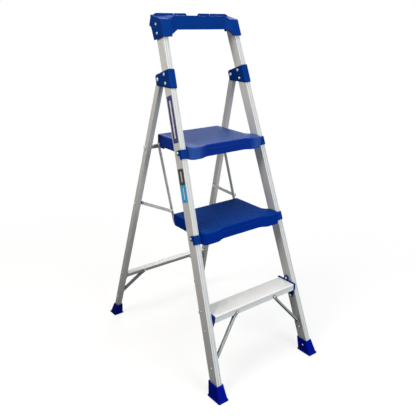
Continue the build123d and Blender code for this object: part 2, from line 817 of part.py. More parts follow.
def make_cross_tube():
    with BuildPart() as tube:
        with BuildSketch(along_x(-base_half, tube_y, tube_z)):
            Circle(tube_radius)
            Circle(tube_bore, mode=Mode.SUBTRACT)
        extrude(amount=base_half)
        split(bisect_by=leg_side(leg_width), keep=Keep.TOP)
        mirror(about=Plane.YZ)
    return tube.part


# Rear crossbar: a channel with its back open and an end plate riveted to each leg.
def make_crossbar():
    with BuildPart() as bar:
        with BuildSketch(Plane(origin=(-base_half, leg_corner.Y, 0), x_dir=leg_back, z_dir=(1, 0, 0))):
            with BuildLine():
                Polyline((bar_back, bar_top), (bar_front, bar_top), (bar_front, bar_low), (bar_back, bar_low))
                offset(amount=bar_wall, side=Side.LEFT, kind=Kind.INTERSECTION)
            make_face()
        extrude(amount=base_half)
        split(bisect_by=leg_side(leg_width), keep=Keep.TOP)
        with BuildSketch(leg_side(leg_width)):
            with Locations((0, bar_plate_up)):
                RectangleRounded(leg_depth, bar_plate_height, bar_plate_corner)
        extrude(amount=bar_wall)
        for station in bar_rivets:
            drill(side_seat(leg_side(0), *station), rivet_radius + hole_gap, 2 * leg_width)
        drill(rear_tab, rivet_radius + hole_gap, 2 * (bar_wall + strut_wall))
        mirror(about=Plane.YZ)
    return bar.part


# Half the plan of a tread, left of the middle, seen from above with the pivot at zero.
def tread_half_plan(half, lobe, rear, inset):
    with BuildSketch(mode=Mode.PRIVATE) as plan:
        with BuildLine():
            FilletPolyline((0, -tread_front), (lobe_step - lobe_inner, -tread_front),
                           (-lobe_inner, -lobe_front), (-lobe, -lobe_front), (-lobe, lobe_back),
                           (-half, lobe_blend), (-half, rear), (0, rear), radius=tread_radii)
            Line((0, rear), (0, -tread_front))
        make_face()
        if inset:
            offset(amount=-inset)
            with Locations((-inset / 2, (rear - tread_front) / 2)):
                Rectangle(inset + 1, rear + tread_front - 2 * inset)
    return plan.sketch


def lobe_half(height):
    y, z = pivot_point(height)
    return -pierce_x(stile_side(stile_width), y, z) - clip_wall - clip_side_gap


# The leaning rear wall of the lower tread, as far as the plan reaches.
def make_leaning_wall(height, half, rear, thickness):
    y, z = pivot_point(height)
    foot = low_rear_lip - skirt
    shift = foot * tan(radians(low_rear_slant))
    with BuildPart() as wall:
        with BuildSketch(Plane(origin=(0, y, height - low_rear_lip))):
            add(tread_half_plan(half, lobe_half(height), rear, 0))
        extrude(amount=foot)
        with BuildSketch(along_x(-base_half, y + rear, height - low_rear_lip)):
            with BuildLine():
                Polyline((0, 0), (shift, foot), (shift - thickness, foot), (-thickness, 0), close=True)
            make_face()
        extrude(amount=base_half, mode=Mode.INTERSECT)
    return wall.part


# A tread: a thin plate with a skirt, lobes round the pivots and ribs below.
def make_tread(height, half, rear, rib_lines, is_top):
    y, z = pivot_point(height)
    link_y, link_z = crank_point(height)
    lobe = lobe_half(height)
    bottom = z + pivot_drop - skirt
    with BuildPart() as tread:
        with BuildSketch(Plane(origin=(0, y, height))):
            add(tread_half_plan(half, lobe, rear, 0))
        extrude(amount=-skirt)
        rim = tread.faces().sort_by(Axis.Z)[-1].edges().filter_by(lambda edge: edge.center().X < -0.5)
        fillet(rim, tread_edge)
        with BuildSketch(Plane(origin=(0, y, height - tread_plate))):
            add(tread_half_plan(half, lobe, rear, tread_wall))
        extrude(amount=-2 * skirt, mode=Mode.SUBTRACT)
        # Ribs stop short of the skirt's lower edge.
        with BuildSketch(Plane(origin=(0, y, height - tread_plate))):
            add(tread_half_plan(half, lobe, rear, tread_wall - 0.5))
            with BuildSketch(mode=Mode.INTERSECT):
                with Locations((-half / 2, 0)):
                    Rectangle(rib_wall, 2 * rear)
                with Locations(*[(0, line) for line in rib_lines]):
                    Rectangle(4 * half, rib_wall)
        extrude(amount=-rib_drop)
        # Bearing for the pivot pin, hung from the plate by a web.
        with BuildSketch(along_x(-lobe + 1, y, z)):
            Circle(bearing_radius)
            with Locations((0, pivot_drop / 2)):
                Rectangle(rib_wall * 2, pivot_drop - tread_plate + 1)
        extrude(amount=bearing_length)
        with BuildSketch(along_x(-lobe - clip_side_gap + 0.5, y, z)):
            Circle(spacer_radius)
        extrude(amount=2 * clip_side_gap)
        # Bead along the straight part of the front skirt.
        with BuildSketch(Plane(origin=(0, y - tread_front, height - bead_drop))):
            Rectangle(2 * (lobe_inner - lobe_step), bead_depth)
        extrude(amount=-bead_height)
        if is_top:
            # Lug and boss for the drop link, and hooks that rest on the cross tube.
            with BuildSketch(along_x(-half, link_y + lug_shift, bottom)):
                Rectangle(lug_length, 2 * lug_drop)
            extrude(amount=tread_wall)
            with BuildSketch(along_x(drop_link_x + link_gap, link_y, link_z)):
                Circle(link_boss)
            extrude(amount=-drop_link_x - link_gap - half + 1)
            drill(along_x(-half, link_y, link_z), link_pin_radius + hole_gap, link_boss)
            with BuildSketch(along_x(-hook_x - hook_width / 2, tube_y, tube_z)):
                with BuildLine():
                    Polyline((y + rear - tread_wall - tube_y, hook_top), (hook_back / 2, hook_top),
                             (hook_back, hook_top / 2), (hook_back, 0), (y + rear - tread_wall - tube_y, 0),
                             close=True)
                make_face()
                Circle(tube_radius + hook_gap, mode=Mode.SUBTRACT)
            extrude(amount=hook_width)
        else:
            # The rear wall leans in, and a rib carries the steel rail that passes through it.
            wedge = tan(radians(low_rear_slant)) * 2 * skirt
            add(make_leaning_wall(height, half, rear, tread_wall))
            with BuildSketch(Plane(origin=(-half, y, height - tread_plate))):
                with Locations((half + rail_x + rib_wall, crank_back - rail_length / 2)):
                    Rectangle(rib_wall, 0.9 * rail_length, align=(Align.MAX, Align.CENTER))
            extrude(amount=-skirt + tread_plate + 1)
            with BuildSketch(along_x(-2 * half, y + rear, height - low_rear_lip)):
                with BuildLine():
                    Polyline((0.1, 0), (0.1, -2 * skirt), (-wedge, -2 * skirt), close=True)
                make_face()
            extrude(amount=2 * half, mode=Mode.SUBTRACT)
            with BuildSketch(along_x(rail_x - rail_wall - link_gap, link_y, link_z)):
                Rectangle(6 * rail_height, rail_height + 2 * link_gap)
            extrude(amount=rail_wall + 2 * link_gap, mode=Mode.SUBTRACT)
        drill(along_x(-lobe, y, z), pin_radius + running_gap, bearing_length - tread_wall)
        split(bisect_by=Plane.YZ, keep=Keep.BOTTOM)
        mirror(about=Plane.YZ)
    return tread.part


# A flat steel strip with a pivot hole at each end, along the lean of the stiles.
def make_drop_link():
    length = rise / cos(lean)
    start = Plane(origin=(drop_link_x - link_wall, *low_link), x_dir=front_up, z_dir=(1, 0, 0))
    with BuildPart() as link:
        with BuildSketch(start):
            with Locations((length / 2, 0)):
                SlotCenterToCenter(length, link_width)
            with Locations((0, 0), (length, 0)):
                Circle(link_pin_radius + running_gap, mode=Mode.SUBTRACT)
        extrude(amount=link_wall)
    return link.part


# A steel strip from the rear leg to the drop link, bent so that both its ends lie flat.
def make_stay():
    run = Vector(0, stay_front[0] - stay_rear[0], stay_front[1] - stay_rear[1])
    along = run.normalized()
    end = link_width / 2
    plane = Plane(origin=(0, *stay_rear), x_dir=along, z_dir=along.cross(Vector(1, 0, 0)))
    with BuildPart() as stay:
        with BuildSketch(plane):
            with BuildLine():
                Polyline((-end, stay_leg_x), (stay_flat, stay_leg_x), (run.length - stay_flat, stay_x),
                         (run.length + end, stay_x))
                offset(amount=link_wall, side=Side.RIGHT, kind=Kind.INTERSECTION)
            make_face()
        extrude(amount=link_width / 2, both=True)
        ends = stay.edges().filter_by(Axis.X).sort_by(Axis(plane.origin, along))
        fillet(ends[:2] + ends[-2:], end - 0.1)
        drill(along_x(0, *stay_rear), pin_radius + running_gap, base_half)
        drill(along_x(0, *stay_front), link_pin_radius + hole_gap, base_half)
    return stay.part


# The rivet at the front of a stay, with a spacer that ends just clear of the drop link.
def make_stay_rivet():
    outer = stay_x - link_wall
    inner = drop_link_x - link_wall - link_gap
    with BuildPart() as rivet:
        with Locations(Location(along_x(outer, *stay_front))):
            Cone(rivet_head * 0.7, rivet_head * 1.2, head_height, align=middle_out)
            Cylinder(link_pin_radius, inner - outer, align=middle_in)
        with Locations(Location(along_x(stay_x, *stay_front))):
            Cylinder(rivet_head * 1.2, inner - stay_x, align=middle_in)
    return rivet.part


# The pin that carries a stay on the rear leg, with a spacer against the leg and a set head.
def make_stay_pin():
    y, z = stay_rear
    outer = stay_leg_x - link_wall - link_gap
    with BuildPart() as spacer:
        with Locations(Location(along_x(outer - pin_head, y, z))):
            Cylinder(pin_head, pin_head, align=middle_in)
        split(bisect_by=leg_side(leg_width), keep=Keep.TOP)
    set_x = stay_leg_x + link_gap
    pin = make_pin(leg_side(0), y, z, set_x - pierce_x(leg_side(0), y, z))
    with BuildPart() as whole:
        add([pin, spacer.part])
        with Locations(Location(along_x(set_x, y, z))):
            Cone(pin_head, pin_head * 0.6, head_height, align=middle_in)
    return whole.part


def make_rail():
    start = along_x(rail_x - rail_wall, *low_link)
    with BuildPart() as rail:
        with BuildSketch(start):
            with Locations((-rail_length / 2, 0)):
                SlotCenterToCenter(rail_length, rail_height)
            Circle(link_pin_radius + hole_gap, mode=Mode.SUBTRACT)
        extrude(amount=rail_wall)
    return rail.part


# A link pin: head outside the drop link, set head behind what carries it.
def make_link_pin(height, inner_x):
    outer = drop_link_x - link_wall - link_gap
    seat = along_x(outer, *crank_point(height))
    return make_rivet(seat, inner_x - outer, shank=link_pin_radius, head=link_head)


def make_tread_pin(height):
    y, z = pivot_point(height)
    face = stile_side(-clip_wall)
    reach = bearing_length - 2 * tread_wall - lobe_half(height) - pierce_x(face, y, z)
    return make_pin(face, y, z, reach, head=tread_pin_head)


os.makedirs("parts", exist_ok=True)
front_strut_seat = side_seat(stile_side(0), *strut_rivet)
rear_strut_seat = side_seat(leg_side(0), *rear_strut_rivet)
front_tab = tab_seat(front_strut_start(), nose_face, front_strut_head_x)
rear_tab = tab_seat(rear_strut_start(), bar_face, rear_strut_head_x)

# Front frame.
save_pair(make_stile(), "front_stile")
save(make_handle(), "top_handle")
save_pair(make_hinge_bracket(), "hinge_bracket")
for level, height in tread_heights.items():
    save_pair(make_clip(height), f"{level}_tread_clip")
save(make_bottom_step(), "bottom_step")
save_pair(make_step_bracket(), "step_bracket")
save_pair(make_strut(front_strut_start(), stile_side(stile_width), *strut_rivet, nose_face,
                     front_strut_head_x, make_step_block(), [front_strut_seat, front_tab]), "front_strut")
save_pair(make_foot(front_foot_middle, stile_width / cos(turn), stile_depth / cos(lean), front_foot_height,
                    make_stile_core(), front_foot_seat()), "front_foot")
save_both_sides([make_rivet(handle_seat(station), handle_wall - spot_depth + stile_wall)
                 for station in handle_rivets], "handle_rivets")
save_both_sides([make_rivet(side_seat(stile_side(-bracket_wall), *station), stile_width + 2 * bracket_wall)
                 for station in bracket_rivets], "hinge_bracket_rivets")
save_both_sides([make_pin(stile_side(-bracket_wall), hinge_y, hinge_z, stile_width + 2 * bracket_wall + 1,
                          set_face=stile_side(stile_width + bracket_wall))], "rear_hinge_pins")
save_both_sides([make_tread_pin(height) for height in tread_heights.values()], "tread_pivot_pins")
save_both_sides([make_rivet(side_seat(stile_side(0), *station), stile_width + plate_wall)
                 for station in step_rivets], "step_bracket_rivets")
save_both_sides([make_rivet(front_strut_seat, stile_width + strut_wall),
                 make_rivet(front_tab, strut_wall + step_wall)], "front_strut_rivets")
save_both_sides([make_rivet(front_foot_seat(), foot_wall - spot_depth + stile_wall)], "front_foot_rivets")

# Rear frame.
save_pair(make_rear_leg(), "rear_leg")
save(make_cross_tube(), "rear_cross_tube")
save(make_crossbar(), "rear_crossbar")
save_pair(make_strut(rear_strut_start(), leg_side(leg_width), *rear_strut_rivet, bar_face,
                     rear_strut_head_x, make_bar_block(), [rear_strut_seat, rear_tab]), "rear_strut")
save_pair(make_foot(rear_foot_middle, leg_width / cos(leg_turn), leg_depth / cos(rear_lean),
                    rear_foot_height, make_leg_core(), rear_foot_seat()), "rear_foot")
save_both_sides([make_pin(leg_side(0), tube_y, tube_z, leg_width + tube_plug, shank=tube_bore,
                          head=tube_radius)], "cross_tube_rivets")
save_both_sides([make_rivet(side_seat(leg_side(0), *station), leg_width + bar_wall, head=bar_rivet_head)
                 for station in bar_rivets], "crossbar_rivets")
save_both_sides([make_rivet(rear_strut_seat, leg_width + strut_wall),
                 make_rivet(rear_tab, strut_wall + bar_wall)], "rear_strut_rivets")
save_both_sides([make_rivet(rear_foot_seat(), foot_wall - spot_depth + leg_wall)], "rear_foot_rivets")
save_both_sides([make_stay_pin()], "stay_leg_pins")

# Treads and the links of the fold.
save(make_tread(tread_heights["top"], top_tread_half, top_tread_rear, top_ribs, True), "top_tread")
save_both_sides([make_link_pin(tread_heights["top"], tread_wall - top_tread_half)], "top_link_pins")
save(make_tread(tread_heights["low"], low_tread_half, low_tread_rear, low_ribs, False), "lower_tread")
save_pair(make_rail(), "lower_tread_rail")
save_both_sides([make_link_pin(tread_heights["low"], rail_x)], "lower_link_pins")
save_pair(make_drop_link(), "drop_link")
save_pair(make_stay(), "stay")
save_pair(make_stay_rivet(), "stay_rivet")
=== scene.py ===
import json
import math

import bpy
import numpy as np
from mathutils import Matrix, Vector


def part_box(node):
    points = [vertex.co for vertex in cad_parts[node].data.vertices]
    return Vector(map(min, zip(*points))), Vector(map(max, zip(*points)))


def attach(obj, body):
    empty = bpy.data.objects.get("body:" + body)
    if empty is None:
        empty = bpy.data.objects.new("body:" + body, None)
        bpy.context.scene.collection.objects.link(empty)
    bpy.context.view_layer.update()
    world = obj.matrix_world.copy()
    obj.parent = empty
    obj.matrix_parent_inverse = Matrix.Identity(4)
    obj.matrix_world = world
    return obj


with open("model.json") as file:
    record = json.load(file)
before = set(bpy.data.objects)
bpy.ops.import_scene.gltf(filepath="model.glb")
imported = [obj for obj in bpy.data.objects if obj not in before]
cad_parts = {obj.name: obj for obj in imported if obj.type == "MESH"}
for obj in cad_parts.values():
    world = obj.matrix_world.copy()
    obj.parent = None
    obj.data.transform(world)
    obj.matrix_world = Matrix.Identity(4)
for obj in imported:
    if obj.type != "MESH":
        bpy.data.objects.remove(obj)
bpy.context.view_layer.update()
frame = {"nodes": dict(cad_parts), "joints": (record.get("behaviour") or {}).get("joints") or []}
nodes = frame["nodes"]
print("frame loaded with", len(nodes), "nodes")


class Wire:  # a shader socket that takes part in Python arithmetic
    def __init__(self, finish, socket):
        self.finish = finish
        self.socket = socket

    def maths(self, operation, first, second):
        return self.finish.node("ShaderNodeMath", {"operation": operation}, {0: first, 1: second})

    def __add__(self, other):
        return self.maths("ADD", self, other)

    def __radd__(self, other):
        return self.maths("ADD", other, self)

    def __sub__(self, other):
        return self.maths("SUBTRACT", self, other)

    def __rsub__(self, other):
        return self.maths("SUBTRACT", other, self)

    def __mul__(self, other):
        return self.maths("MULTIPLY", self, other)

    def __rmul__(self, other):
        return self.maths("MULTIPLY", other, self)

    def limited(self):  # kept between 0 and 1
        return self.maths("MINIMUM", self.maths("MAXIMUM", self, 0.0), 1.0)

    def steep(self, gain, start):  # only the high spots, from 0 to 1
        return (self * gain - start).limited()


class Finish:  # the nodes of one material, or of the world
    def __init__(self, holder):
        holder.use_nodes = True
        self.holder = holder
        self.tree = holder.node_tree
        self.tree.nodes.clear()

    def node(self, kind, settings=None, values=None, output=0):
        made = self.tree.nodes.new(kind)
        for key, value in (settings or {}).items():
            setattr(made, key, value)
        for key, value in (values or {}).items():
            if isinstance(value, Wire):
                self.tree.links.new(value.socket, made.inputs[key])
            else:
                made.inputs[key].default_value = value
        return Wire(self, made.outputs[output]) if len(made.outputs) else None

    def place(self, stretch=(1, 1, 1), tilt=0.0):  # object coordinates in metres, turned about X
        coords = self.node("ShaderNodeTexCoord", output="Object")
        turned = self.node("ShaderNodeMapping", {"vector_type": "POINT"},
                           {"Vector": coords, "Rotation": (tilt, 0, 0)})
        return self.node("ShaderNodeVectorMath", {"operation": "MULTIPLY"}, {0: turned, 1: stretch})

    def along(self, vector, axis):  # one coordinate of a vector
        return self.node("ShaderNodeSeparateXYZ", None, {"Vector": vector}, output=axis)

    def noise(self, vector, scale, detail, roughness=0.55):
        return self.node("ShaderNodeTexNoise", None,
                         {"Vector": vector, "Scale": scale, "Detail": detail, "Roughness": roughness})

    def mix(self, factor, first, second, blend="MIX"):  # 6, 7 and 2 are a Mix node's colour sockets
        return self.node("ShaderNodeMix", {"data_type": "RGBA", "blend_type": blend},
                         {0: factor, 6: first, 7: second}, output=2)

    def toned(self, factor, look):  # between the darkest and the brightest tone of a colour
        darkest, brightest = look["tones"]
        return self.mix(factor, shade(look["colour"], darkest), shade(look["colour"], brightest))

    def edges(self, radius):  # normals that round the sharp edges of a piece
        return self.node("ShaderNodeBevel", {"samples": 4}, {"Radius": radius})

    def edgeNearness(self, rounded, gain=4.0):  # 0 on a flat, towards 1 along a sharp edge
        flat = self.node("ShaderNodeNewGeometry", output="Normal")
        alike = self.node("ShaderNodeVectorMath", {"operation": "DOT_PRODUCT"},
                          {0: rounded, 1: flat}, output="Value")
        return ((1 - alike) * gain).limited()

    def openness(self, reach):  # 1 in the open, less inside corners and folds
        return self.node("ShaderNodeAmbientOcclusion", {"samples": 6}, {"Distance": reach}, output="AO")

    def upward(self, gain=3.0):  # 0 on an upright face, 1 on one that looks up, even a little
        normal = self.node("ShaderNodeTexCoord", output="Normal")
        return (self.along(normal, "Z") * gain).limited()

    def bump(self, height, distance, under=None):
        values = {"Height": height, "Distance": distance}
        if under:
            values["Normal"] = under
        return self.node("ShaderNodeBump", None, values)

    def surface(self, values):
        shader = self.node("ShaderNodeBsdfPrincipled", None, values)
        self.node("ShaderNodeOutputMaterial", None, {"Surface": shader})
        return self.holder


def newFinish(name):
    return Finish(bpy.data.materials.new(name))


def shade(colour, gain):  # a brighter or darker cousin of a colour
    return tuple(min(1.0, part * gain) for part in colour[:3]) + (1.0,)


# Noises are pairs: how many to the metre, and how much detail.
bluePlasticLook = {
    "colour": (0.0012, 0.033, 0.215, 1),
    "tones": (0.86, 1.14),  # darkest and brightest, as shares of the colour
    "mottle": (14.0, 3.0),
    "grain": (900.0, 2.0),
    "grainDepth": 0.00022,
    "grainShare": 0.8,  # of the relief, and scuffs are the rest
    "scuffs": (90.0, 4.0),
    "scuffStretch": (1.0, 6.0, 1.0),
    "worn": (0.05, 0.10, 0.30, 1),
    "proud": (2.4, 0.9),  # gain and start of the grain's high spots
    "bloom": 0.06,  # worn share on those spots
    "edgePale": 0.55,  # share of the pale colour along the edges: wear, and a painted edge highlight
    "edgeRound": 0.0018,
    "roughness": 0.4,
    "uneven": 0.1,  # roughness that grain and scuffs each add
    "ior": 1.5,
    "shine": 0.02,  # specular level
    "dust": 0.0,  # sheen at grazing angles
}


def paintedLobeHighlight(finish, where, look):  # painted highlight on the front lobes of a tread, beside the stiles
    across = finish.along(where, "X")
    outer = (across * across - look["rubbedPast"] ** 2) * look["rubbedSideFade"]
    front = (look["rubbedBefore"] - finish.along(where, "Y")) * look["rubbedFrontFade"]
    return outer.limited() * front.limited() * look["rubbedShare"]


def mouldedPlastic(name, look):  # fine-grained moulding, paler where the grain stands proud
    finish = newFinish(name)
    where = finish.place()
    grain = finish.noise(where, *look["grain"])
    scuff = finish.noise(finish.place(look["scuffStretch"]), *look["scuffs"])
    base = finish.toned(finish.noise(where, *look["mottle"]), look)
    # painted highlight: a paler colour towards the lobes
    if "rubbed" in look:
        base = finish.mix(paintedLobeHighlight(finish, where, look), base, look["rubbed"])
    if "walked" in look:  # painted light: another tone on the standing surface than on the skirt, a painted sheen on the top tread and painted shade on the lower tread
        walked = (finish.along(where, "Z") - look["walkedAbove"]) * look["walkedFade"]
        base = finish.mix(walked.limited(), base, look["walked"])
    rounded = finish.edges(look["edgeRound"])
    bloom = grain.steep(*look["proud"]) * scuff * look["bloom"]
    # pale along the edges: wear, and a painted highlight on them
    pale = finish.edgeNearness(rounded) * look["edgePale"] * scuff
    relief = grain * look["grainShare"] + scuff * (1 - look["grainShare"])
    return finish.surface({
        "Base Color": finish.mix((bloom + pale).limited(), base, look["worn"]),
        "Roughness": look["roughness"] + (scuff + grain) * look["uneven"],
        "IOR": look["ior"],
        "Specular IOR Level": look["shine"],
        "Sheen Weight": look["dust"],
        "Normal": finish.bump(relief, look["grainDepth"], rounded),
    })


aluminiumLook = {
    "colour": (0.63, 0.638, 0.642, 1),
    "tones": (0.8, 1.18),
    "streaks": (260.0, 4.0),
    "streakDepth": 0.00007,
    "streakShare": 0.6,  # of the tone, and cloud is the rest
    "cloud": (22.0, 5.0),
    "handling": (140.0, 4.0),
    "edgeRound": 0.001,
    "soil": 0.6,  # painted shade: share of the colour left in a corner
    "soilReach": 0.005,
    "metallic": 0.08,
    "roughness": 0.28,
    "streakRough": 0.14,
    "handlingRough": 0.08,
    "shine": 0.4,  # specular level
}


def drawnAluminium(name, look, stretch, tilt=0.0):  # streaked along its length by drawing
    finish = newFinish(name)
    where = finish.place()
    streak = finish.noise(finish.place(stretch, tilt), *look["streaks"])
    cloud = finish.noise(where, *look["cloud"])
    handling = finish.noise(where, *look["handling"])
    clean = finish.toned(streak * look["streakShare"] + cloud * (1 - look["streakShare"]), look)
    if "floorShare" in look:  # painted shade, darker towards the floor
        worn = 1 - (finish.along(where, "Z") * (1 / look["dullBelow"])).limited()
        # faces that look up keep their colour, the upright faces get the painted shade
        if look["sidesOnly"]:
            worn = worn * (1 - finish.upward())
        clean = finish.mix(worn, clean, shade((1, 1, 1), look["floorShare"]), "MULTIPLY")
    # painted shade in corners and round fittings
    cornerShadeColour = shade(look["colour"], look["soil"])
    return finish.surface({
        "Base Color": finish.mix(finish.openness(look["soilReach"]), cornerShadeColour, clean),
        "Roughness": look["roughness"] + streak * look["streakRough"] + handling * look["handlingRough"],
        "Metallic": look["metallic"],
        "Specular IOR Level": look["shine"],
        "Normal": finish.bump(streak, look["streakDepth"], finish.edges(look["edgeRound"])),
    })


zincLook = {
    "colour": (0.215, 0.25, 0.265, 1),
    "tones": (0.85, 1.15),
    "spangle": 160.0,  # crystals to the metre
    "warm": (0.33, 0.31, 0.24, 1),
    "warmth": 0.5,  # most of it on a worn crystal
    "wear": (60.0, 5.0),
    "wearDepth": 0.00005,
    "dull": (0.012, 0.016, 0.019, 1),  # painted shade deep inside a fold
    "foldReach": 0.012,
    "edgeRound": 0.0006,
    "metallic": 0.3,
    "roughness": 0.3,
    "spangleRough": 0.12,
    "wearRough": 0.1,
}


def zincSteel(name, look):  # plated steel with a faint crystalline spangle
    finish = newFinish(name)
    where = finish.place()
    crystals = finish.node("ShaderNodeTexVoronoi", None,
                           {"Vector": where, "Scale": look["spangle"]}, output="Color")
    level, tint = (finish.node("ShaderNodeSeparateColor", None, {"Color": crystals}, output=part)
                   for part in ("Red", "Green"))
    wear = finish.noise(where, *look["wear"])
    bright = finish.mix(tint * wear * look["warmth"], finish.toned(level, look), look["warm"])
    # painted shade inside folds and channels
    clear = finish.openness(look["foldReach"])
    return finish.surface({
        "Base Color": finish.mix(clear * clear, look["dull"], bright),
        "Roughness": look["roughness"] + level * look["spangleRough"] + wear * look["wearRough"],
        "Metallic": look["metallic"],
        "Normal": finish.bump(wear, look["wearDepth"], finish.edges(look["edgeRound"])),
    })


filmLook = {
    "peel": (420.0, 2.0),
    "peelDepth": 0.00006,
    "rub": (75.0, 5.0),
    "rubbed": (2.6, 1.25),  # gain and start of the rubbed spots
    "faded": 1.35,  # brightness of a rubbed spot
    "fade": 0.35,  # most of it that shows
    "roughness": 0.34,
    "rubRough": 0.25,
    "shine": 0.3,  # specular level
}


def printedFilm(name, colour):  # glossy film with a slight orange peel and rubbed spots
    finish = newFinish(name)
    where = finish.place()
    peel = finish.noise(where, *filmLook["peel"])
    rub = finish.noise(where, *filmLook["rub"]).steep(*filmLook["rubbed"])
    return finish.surface({
        "Base Color": finish.mix(rub * filmLook["fade"], colour, shade(colour, filmLook["faded"])),
        "Roughness": filmLook["roughness"] + rub * filmLook["rubRough"],
        "Specular IOR Level": filmLook["shine"],
        "Normal": finish.bump(peel, filmLook["peelDepth"]),
    })


lean = math.radians(20.6)  # of the stiles, back from upright
splay = math.radians(3.2)  # of the stiles, in their own plane
rearLean = math.radians(14.0)  # of the rear legs, forward from upright
lengthwise = (1.0, 1.0, 0.02)
sideways = (0.02, 1.0, 1.0)

# The painted top tone (painted sheen on the top tread, painted shade on the lower) lies above a height,
# and the painted lobe highlight past an X to either side and before a Y.
treadLook = dict(bluePlasticLook, colour=(0.0010, 0.027, 0.275, 1), walkedFade=700.0)
topTreadLook = dict(
    treadLook, bloom=0.2, dust=0.05,
    walked=(0.03, 0.066, 0.235, 1), walkedAbove=0.7478,
    rubbed=(0.034, 0.105, 0.4, 1), rubbedShare=0.78,
    rubbedPast=0.098, rubbedSideFade=180.0,
    rubbedBefore=-0.05, rubbedFrontFade=100.0,
)
lowTreadLook = dict(treadLook, shine=0.004, walked=(0.0012, 0.031, 0.19, 1), walkedAbove=0.4978)
footLook = dict(bluePlasticLook, colour=(0.0008, 0.006, 0.26, 1), shine=0.01)
rearFootLook = dict(footLook, colour=(0.0008, 0.004, 0.16, 1))

# Painted shade towards the floor: the share of the colour left at the floor, and the height where that
# shade ends.
stileLook = dict(aluminiumLook, floorShare=0.45, dullBelow=0.45, sidesOnly=True)
legLook = dict(aluminiumLook, colour=(0.6, 0.6, 0.595, 1), soil=0.3,
               floorShare=0.33, dullBelow=0.62, sidesOnly=False)
barLook = dict(aluminiumLook, colour=(0.54, 0.54, 0.535, 1),
               floorShare=0.45, dullBelow=10.0, sidesOnly=True)  # painted shade at the height of any bar, on its upright faces
stepLook = dict(aluminiumLook, colour=(0.75, 0.75, 0.745, 1), metallic=0.0, roughness=0.4, shine=0.04)

# Lit and shaded copies of the same zinc: painted light on the stays and, less, on the drop links, painted
# shade on the rear struts.
litStayLook = dict(zincLook, colour=(0.55, 0.59, 0.59, 1))
halfLitLinkLook = dict(zincLook, colour=(0.33, 0.365, 0.37, 1))
shadedRearStrutLook = dict(zincLook, colour=(0.13, 0.14, 0.145, 1), metallic=0.2)
rivetLook = dict(zincLook, colour=(0.6, 0.6, 0.59, 1), metallic=0.5, spangle=300.0, foldReach=0.004)

finishes = {
    "plastic": mouldedPlastic("blueMoulding", bluePlasticLook),
    "topTread": mouldedPlastic("topTreadMoulding", topTreadLook),
    "lowTread": mouldedPlastic("lowTreadMoulding", lowTreadLook),
    "foot": mouldedPlastic("footMoulding", footLook),
    "rearFoot": mouldedPlastic("rearFootMoulding", rearFootLook),
    "stile": drawnAluminium("stileAluminium", stileLook, lengthwise, lean),
    "leg": drawnAluminium("legAluminium", legLook, lengthwise, -rearLean),
    "step": drawnAluminium("stepAluminium", stepLook, sideways),
    "bar": drawnAluminium("barAluminium", barLook, sideways),
    "zinc": zincSteel("zincSteel", zincLook),
    "stayZinc": zincSteel("stayZincSteel", litStayLook),
    "linkZinc": zincSteel("linkZincSteel", halfLitLinkLook),
    "darkZinc": zincSteel("darkZincSteel", shadedRearStrutLook),
    "rivet": zincSteel("rivetSteel", rivetLook),
    "blueFilm": printedFilm("blueFilm", (0.012, 0.016, 0.16, 1)),
    "whiteFilm": printedFilm("whiteFilm", (0.8, 0.8, 0.79, 1)),
    "blackFilm": printedFilm("blackFilm", (0.012, 0.012, 0.013, 1)),
    # painted shadow, for the rings round the rivet heads
    "soil": printedFilm("rivetSoil", (0.03, 0.029, 0.027, 1)),
    "skyFilm": printedFilm("skyFilm", (0.008, 0.4, 0.84, 1)),
}

finishWords = (  # a node takes the first row whose words are all in its name
    ("rivet", "rivet"), ("rivets", "rivet"), ("pins", "rivet"),
    ("rear foot", "rearFoot"), ("foot", "foot"),
    ("handle", "plastic"), ("clip", "plastic"), ("bracket", "plastic"),
    ("rail", "zinc"), ("top tread", "topTread"), ("lower tread", "lowTread"),
    ("stile", "stile"), ("leg", "leg"), ("bottom step", "step"), ("crossbar", "bar"), ("tube", "bar"),
    ("stay", "stayZinc"), ("link", "linkZinc"), ("rear strut", "darkZinc"), ("strut", "zinc"),
)


def finishOf(name):
    words = set(name.split("_"))
    return next(finish for wanted, finish in finishWords if words >= set(wanted.split()))


for name, piece in nodes.items():
    piece.data.materials.clear()
    piece.data.materials.append(finishes[finishOf(name)])
print("finishes made:", len(finishes))


padLook = {
    "cornerPoints": 4,
    "wall": 0.6,  # height of the wall below the bevel, as a share of the pad's
    "bevel": 0.4,  # inset of the top, as a share of the pad's height
}


